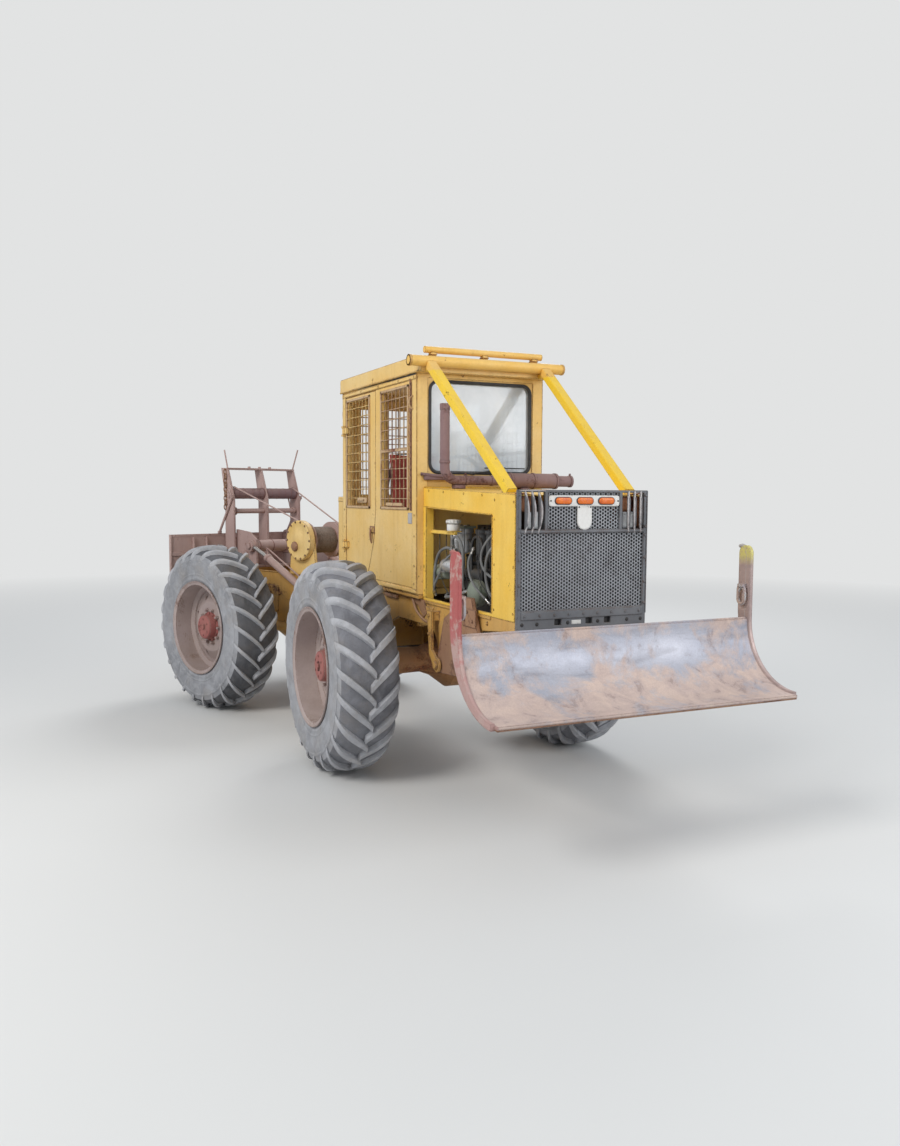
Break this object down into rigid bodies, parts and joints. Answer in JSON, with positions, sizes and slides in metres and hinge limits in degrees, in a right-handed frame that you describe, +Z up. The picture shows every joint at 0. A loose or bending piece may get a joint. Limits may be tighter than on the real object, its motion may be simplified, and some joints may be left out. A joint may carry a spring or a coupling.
{
  "type": "articulated logging skidder",
  "caption": "Articulated forest skidder with a mesh-guarded cab, front push blade, rear winch, rope arch and log shield, standing with its rear frame turned.",
  "frame": {"origin": "on the ground under the middle of the parked machine's outline", "axes": "+X along the front frame towards the blade, +Y to the machine's left, +Z up"},
  "size_m": [6.2102, 2.7996, 2.8689],
  "materials": {
    "cab_yellow": "faded yellow paint, chipped and rusty at the edges",
    "bright_yellow": "brighter yellow paint, scratched",
    "guard_grey": "worn grey paint",
    "engine_dark": "oily black",
    "blade_steel": "scoured grey-blue paint with orange rust",
    "arm_brown": "brown rust",
    "rust_pink": "thin old paint over pink-brown rust",
    "wheel_rust": "pinkish rust",
    "tyre_grey": "dusty, weathered",
    "lamp_clear": "clear",
    "lamp_white": "white paint with amber lenses",
    "glass": "clear, dusty",
    "mesh_rust": "pale paint, rusty",
    "seat_red": "worn red cover",
    "dash_black": "dull",
    "exhaust_rust": "purple-brown rust",
    "rod_chrome": "polished"
  },
  "bodies": {
    "front_body": {"front_frame": "cab_yellow", "front_axle": "cab_yellow", "gearbox": "engine_dark", "engine": "engine_dark", "radiator": "engine_dark", "hood": "bright_yellow", "grille_guard": "guard_grey", "grille_screen": "guard_grey", "headlamps": "lamp_clear", "marker_panel": "lamp_white", "exhaust": "exhaust_rust", "cab_frame": "cab_yellow", "cab_walls": "cab_yellow", "cab_roof": "cab_yellow", "windscreen": "glass", "cab_mesh": "mesh_rust", "roof_bars": "bright_yellow", "seat": "seat_red", "controls": "dash_black", "rear_box": "cab_yellow"},
    "right_door": {"door_right": "cab_yellow"},
    "left_door": {"door_left": "cab_yellow"},
    "blade_body": {"blade": "blade_steel", "blade_arms": "arm_brown"},
    "lift_barrel_body": {"lift_barrels": "bright_yellow"},
    "lift_rod_body": {"lift_rods": "rod_chrome"},
    "rear_body": {"rear_frame": "rust_pink", "rear_axle": "rust_pink", "winch": "bright_yellow", "winch_drums": "engine_dark", "rope_arch": "rust_pink", "arch_rollers": "rust_pink", "rear_shield": "rust_pink"},
    "steer_barrel_right_body": {"steer_barrel_right": "bright_yellow"},
    "steer_barrel_left_body": {"steer_barrel_left": "bright_yellow"},
    "steer_rod_right_body": {"steer_rod_right": "rod_chrome"},
    "steer_rod_left_body": {"steer_rod_left": "rod_chrome"},
    "front_right_wheel": {"tyre_front_right": "tyre_grey", "wheel_front_right": "wheel_rust"},
    "front_left_wheel": {"tyre_front_left": "tyre_grey", "wheel_front_left": "wheel_rust"},
    "rear_right_wheel": {"tyre_rear_right": "tyre_grey", "wheel_rear_right": "wheel_rust"},
    "rear_left_wheel": {"tyre_rear_left": "tyre_grey", "wheel_rear_left": "wheel_rust"}
  },
  "joints": [
    {"name": "steering", "type": "hinge", "parent": "front_body", "child": "rear_body", "pos_m": [-0.80088, 0.2848, 0.76], "axis": [0, 0, 1], "range_deg": [-62, 22]},
    {"name": "blade_lift", "type": "hinge", "parent": "front_body", "child": "blade_body", "pos_m": [1.43413, 0.2848, 0.812], "axis": [0, 1, 0], "range_deg": [-8, 27]},
    {"name": "lift_barrel_swing", "type": "hinge", "parent": "front_body", "child": "lift_barrel_body", "pos_m": [1.59912, 0.2848, 1], "axis": [0, 1, 0], "range_deg": [-9.2, 30.6]},
    {"name": "lift_rod_slide", "type": "slide", "parent": "lift_barrel_body", "child": "lift_rod_body", "axis": [0.9992, 0, -0.0408], "range_m": [-0.034, 0.1135]},
    {"name": "steer_barrel_right_swing", "type": "hinge", "parent": "front_body", "child": "steer_barrel_right_body", "pos_m": [-0.38088, 0.0248, 0.7], "axis": [0, 0, 1], "range_deg": [-20.5, 7.6]},
    {"name": "steer_rod_right_slide", "type": "slide", "parent": "steer_barrel_right_body", "child": "steer_rod_right_body", "axis": [-0.9999, 0.015, 0], "range_m": [-0.079, 0.2205]},
    {"name": "steer_barrel_left_swing", "type": "hinge", "parent": "front_body", "child": "steer_barrel_left_body", "pos_m": [-0.38088, 0.5448, 0.7], "axis": [0, 0, 1], "range_deg": [-20.5, 7.6]},
    {"name": "steer_rod_left_slide", "type": "slide", "parent": "steer_barrel_left_body", "child": "steer_rod_left_body", "axis": [-0.9714, -0.2376, 0], "range_m": [-0.2205, 0.079]},
    {"name": "right_door_hinge", "type": "hinge", "parent": "front_body", "child": "right_door", "pos_m": [-0.37488, -0.2072, 1.95], "axis": [0, 0, -1], "range_deg": [0, 95]},
    {"name": "left_door_hinge", "type": "hinge", "parent": "front_body", "child": "left_door", "pos_m": [-0.37488, 0.7768, 1.95], "axis": [0, 0, 1], "range_deg": [0, 95]},
    {"name": "front_right_wheel_spin", "type": "hinge", "parent": "front_body", "child": "front_right_wheel", "pos_m": [0.69912, -0.6152, 0.725], "axis": [0, 1, 0], "continuous": true},
    {"name": "front_left_wheel_spin", "type": "hinge", "parent": "front_body", "child": "front_left_wheel", "pos_m": [0.69912, 1.1848, 0.725], "axis": [0, 1, 0], "continuous": true},
    {"name": "rear_right_wheel_spin", "type": "hinge", "parent": "rear_body", "child": "rear_right_wheel", "pos_m": [-1.63948, -0.97819, 0.725], "axis": [-0.342, 0.9397, 0], "continuous": true},
    {"name": "rear_left_wheel_spin", "type": "hinge", "parent": "rear_body", "child": "rear_left_wheel", "pos_m": [-2.25512, 0.71326, 0.725], "axis": [-0.342, 0.9397, 0], "continuous": true}
  ],
  "couplings": [
    {"joint": "lift_barrel_swing", "follows": "blade_lift", "ratio": 1.11},
    {"joint": "lift_rod_slide", "follows": "blade_lift", "m_per_rad": 0.24},
    {"joint": "steer_barrel_right_swing", "follows": "steering", "ratio": 0.3223},
    {"joint": "steer_barrel_left_swing", "follows": "steering", "ratio": 0.3223},
    {"joint": "steer_rod_right_slide", "follows": "steering", "m_per_rad": -0.2031},
    {"joint": "steer_rod_left_slide", "follows": "steering", "m_per_rad": 0.2031}
  ]
}
